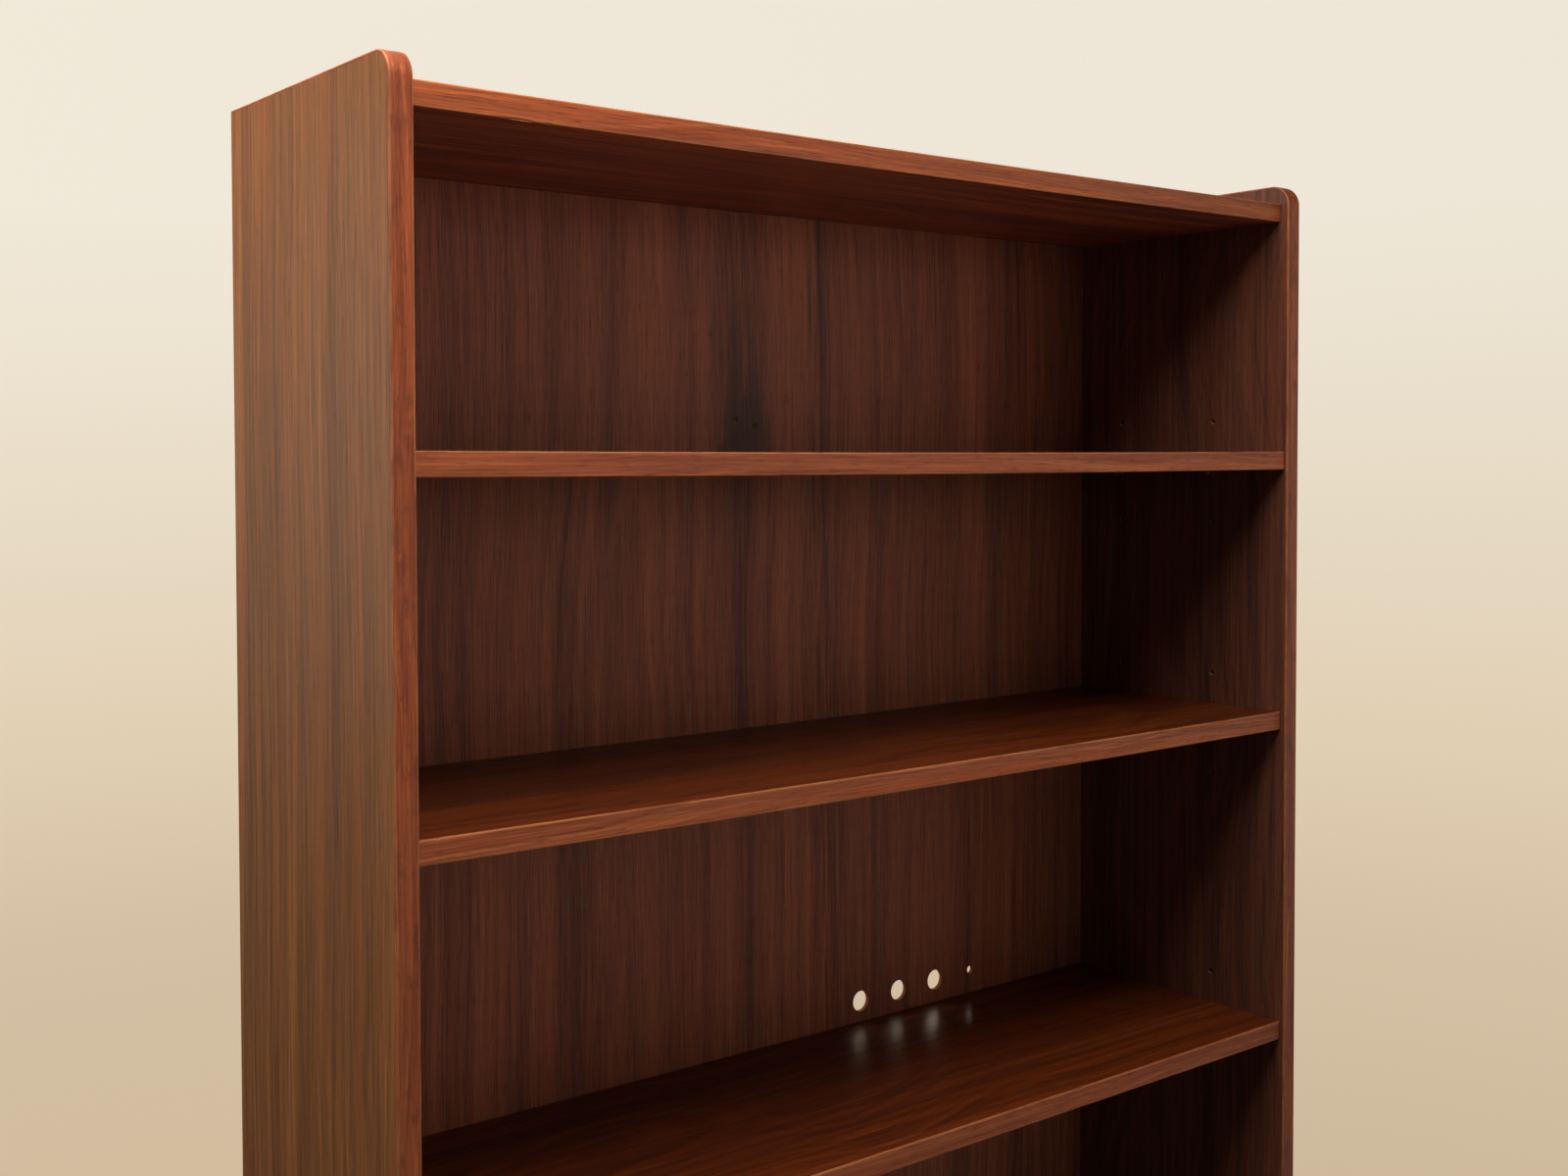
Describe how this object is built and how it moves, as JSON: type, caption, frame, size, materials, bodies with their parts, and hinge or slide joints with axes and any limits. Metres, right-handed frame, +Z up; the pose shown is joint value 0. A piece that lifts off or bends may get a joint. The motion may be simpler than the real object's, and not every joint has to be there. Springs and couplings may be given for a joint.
{
  "type": "bookcase",
  "caption": "Open wooden bookcase: shelves rest on pull-out pins between two tall sides with rounded front corners, with a veneered back.",
  "frame": {"origin": "on the floor, under the middle of the case (bottom centre of its box)", "axes": "+Z up, +X to the right across the width as seen from the front, +Y from the open front to the back panel"},
  "size_m": [1, 0.266, 1.85],
  "materials": {
    "side_veneer": "walnut veneer with vertical grain, satin varnish",
    "shelf_veneer": "walnut veneer with grain along the board, glossy varnish",
    "edge_band": "reddish hardwood edge band, satin varnish",
    "back_veneer": "dark walnut-faced plywood with vertical grain, satin varnish",
    "plinth_veneer": "walnut veneer with grain along the board, satin varnish",
    "dowel_beech": "plain beech",
    "pin_brass": "turned brass, slightly dulled",
    "nail_steel": "bright steel nail",
    "glide_plastic": "dark nylon"
  },
  "bodies": {
    "case": {"side_left": "side_veneer", "side_edge_band_left": "edge_band", "side_right": "side_veneer", "side_edge_band_right": "edge_band", "top_board": "shelf_veneer", "top_board_edge_band": "edge_band", "bottom_board": "shelf_veneer", "bottom_board_edge_band": "edge_band", "plinth_board": "plinth_veneer", "back_panel": "back_veneer", "dowel_top_left_1": "dowel_beech", "dowel_top_left_2": "dowel_beech", "dowel_top_right_1": "dowel_beech", "dowel_top_right_2": "dowel_beech", "dowel_bottom_left_1": "dowel_beech", "dowel_bottom_left_2": "dowel_beech", "dowel_bottom_right_1": "dowel_beech", "dowel_bottom_right_2": "dowel_beech", "back_nail_left_1": "nail_steel", "back_nail_left_2": "nail_steel", "back_nail_left_3": "nail_steel", "back_nail_left_4": "nail_steel", "back_nail_right_1": "nail_steel", "back_nail_right_2": "nail_steel", "back_nail_right_3": "nail_steel", "back_nail_right_4": "nail_steel", "glide_left_front": "glide_plastic", "glide_left_rear": "glide_plastic", "glide_right_front": "glide_plastic", "glide_right_rear": "glide_plastic"},
    "shelf_1": {"shelf_1": "shelf_veneer", "shelf_1_edge_band": "edge_band"},
    "shelf_2": {"shelf_2": "shelf_veneer", "shelf_2_edge_band": "edge_band"},
    "shelf_3": {"shelf_3": "shelf_veneer", "shelf_3_edge_band": "edge_band"},
    "shelf_4": {"shelf_4": "shelf_veneer", "shelf_4_edge_band": "edge_band"},
    "shelf_5": {"shelf_5": "shelf_veneer", "shelf_5_edge_band": "edge_band"},
    "shelf_1_pin_left_front": {"shelf_1_pin_left_front": "pin_brass"},
    "shelf_1_pin_left_rear": {"shelf_1_pin_left_rear": "pin_brass"},
    "shelf_1_pin_right_front": {"shelf_1_pin_right_front": "pin_brass"},
    "shelf_1_pin_right_rear": {"shelf_1_pin_right_rear": "pin_brass"},
    "shelf_2_pin_left_front": {"shelf_2_pin_left_front": "pin_brass"},
    "shelf_2_pin_left_rear": {"shelf_2_pin_left_rear": "pin_brass"},
    "shelf_2_pin_right_front": {"shelf_2_pin_right_front": "pin_brass"},
    "shelf_2_pin_right_rear": {"shelf_2_pin_right_rear": "pin_brass"},
    "shelf_3_pin_left_front": {"shelf_3_pin_left_front": "pin_brass"},
    "shelf_3_pin_left_rear": {"shelf_3_pin_left_rear": "pin_brass"},
    "shelf_3_pin_right_front": {"shelf_3_pin_right_front": "pin_brass"},
    "shelf_3_pin_right_rear": {"shelf_3_pin_right_rear": "pin_brass"},
    "shelf_4_pin_left_front": {"shelf_4_pin_left_front": "pin_brass"},
    "shelf_4_pin_left_rear": {"shelf_4_pin_left_rear": "pin_brass"},
    "shelf_4_pin_right_front": {"shelf_4_pin_right_front": "pin_brass"},
    "shelf_4_pin_right_rear": {"shelf_4_pin_right_rear": "pin_brass"},
    "shelf_5_pin_left_front": {"shelf_5_pin_left_front": "pin_brass"},
    "shelf_5_pin_left_rear": {"shelf_5_pin_left_rear": "pin_brass"},
    "shelf_5_pin_right_front": {"shelf_5_pin_right_front": "pin_brass"},
    "shelf_5_pin_right_rear": {"shelf_5_pin_right_rear": "pin_brass"}
  },
  "joints": [
    {"name": "shelf_1_pull_out", "type": "slide", "parent": "case", "child": "shelf_1", "axis": [0, -1, 0], "range_m": [0, 0.27]},
    {"name": "shelf_2_pull_out", "type": "slide", "parent": "case", "child": "shelf_2", "axis": [0, -1, 0], "range_m": [0, 0.27]},
    {"name": "shelf_3_pull_out", "type": "slide", "parent": "case", "child": "shelf_3", "axis": [0, -1, 0], "range_m": [0, 0.27]},
    {"name": "shelf_4_pull_out", "type": "slide", "parent": "case", "child": "shelf_4", "axis": [0, -1, 0], "range_m": [0, 0.27]},
    {"name": "shelf_5_pull_out", "type": "slide", "parent": "case", "child": "shelf_5", "axis": [0, -1, 0], "range_m": [0, 0.27]},
    {"name": "shelf_1_pin_left_front_pull_out", "type": "slide", "parent": "case", "child": "shelf_1_pin_left_front", "axis": [1, 0, 0], "range_m": [0, 0.02]},
    {"name": "shelf_1_pin_left_rear_pull_out", "type": "slide", "parent": "case", "child": "shelf_1_pin_left_rear", "axis": [1, 0, 0], "range_m": [0, 0.02]},
    {"name": "shelf_1_pin_right_front_pull_out", "type": "slide", "parent": "case", "child": "shelf_1_pin_right_front", "axis": [-1, 0, 0], "range_m": [0, 0.02]},
    {"name": "shelf_1_pin_right_rear_pull_out", "type": "slide", "parent": "case", "child": "shelf_1_pin_right_rear", "axis": [-1, 0, 0], "range_m": [0, 0.02]},
    {"name": "shelf_2_pin_left_front_pull_out", "type": "slide", "parent": "case", "child": "shelf_2_pin_left_front", "axis": [1, 0, 0], "range_m": [0, 0.02]},
    {"name": "shelf_2_pin_left_rear_pull_out", "type": "slide", "parent": "case", "child": "shelf_2_pin_left_rear", "axis": [1, 0, 0], "range_m": [0, 0.02]},
    {"name": "shelf_2_pin_right_front_pull_out", "type": "slide", "parent": "case", "child": "shelf_2_pin_right_front", "axis": [-1, 0, 0], "range_m": [0, 0.02]},
    {"name": "shelf_2_pin_right_rear_pull_out", "type": "slide", "parent": "case", "child": "shelf_2_pin_right_rear", "axis": [-1, 0, 0], "range_m": [0, 0.02]},
    {"name": "shelf_3_pin_left_front_pull_out", "type": "slide", "parent": "case", "child": "shelf_3_pin_left_front", "axis": [1, 0, 0], "range_m": [0, 0.02]},
    {"name": "shelf_3_pin_left_rear_pull_out", "type": "slide", "parent": "case", "child": "shelf_3_pin_left_rear", "axis": [1, 0, 0], "range_m": [0, 0.02]},
    {"name": "shelf_3_pin_right_front_pull_out", "type": "slide", "parent": "case", "child": "shelf_3_pin_right_front", "axis": [-1, 0, 0], "range_m": [0, 0.02]},
    {"name": "shelf_3_pin_right_rear_pull_out", "type": "slide", "parent": "case", "child": "shelf_3_pin_right_rear", "axis": [-1, 0, 0], "range_m": [0, 0.02]},
    {"name": "shelf_4_pin_left_front_pull_out", "type": "slide", "parent": "case", "child": "shelf_4_pin_left_front", "axis": [1, 0, 0], "range_m": [0, 0.02]},
    {"name": "shelf_4_pin_left_rear_pull_out", "type": "slide", "parent": "case", "child": "shelf_4_pin_left_rear", "axis": [1, 0, 0], "range_m": [0, 0.02]},
    {"name": "shelf_4_pin_right_front_pull_out", "type": "slide", "parent": "case", "child": "shelf_4_pin_right_front", "axis": [-1, 0, 0], "range_m": [0, 0.02]},
    {"name": "shelf_4_pin_right_rear_pull_out", "type": "slide", "parent": "case", "child": "shelf_4_pin_right_rear", "axis": [-1, 0, 0], "range_m": [0, 0.02]},
    {"name": "shelf_5_pin_left_front_pull_out", "type": "slide", "parent": "case", "child": "shelf_5_pin_left_front", "axis": [1, 0, 0], "range_m": [0, 0.02]},
    {"name": "shelf_5_pin_left_rear_pull_out", "type": "slide", "parent": "case", "child": "shelf_5_pin_left_rear", "axis": [1, 0, 0], "range_m": [0, 0.02]},
    {"name": "shelf_5_pin_right_front_pull_out", "type": "slide", "parent": "case", "child": "shelf_5_pin_right_front", "axis": [-1, 0, 0], "range_m": [0, 0.02]},
    {"name": "shelf_5_pin_right_rear_pull_out", "type": "slide", "parent": "case", "child": "shelf_5_pin_right_rear", "axis": [-1, 0, 0], "range_m": [0, 0.02]}
  ]
}
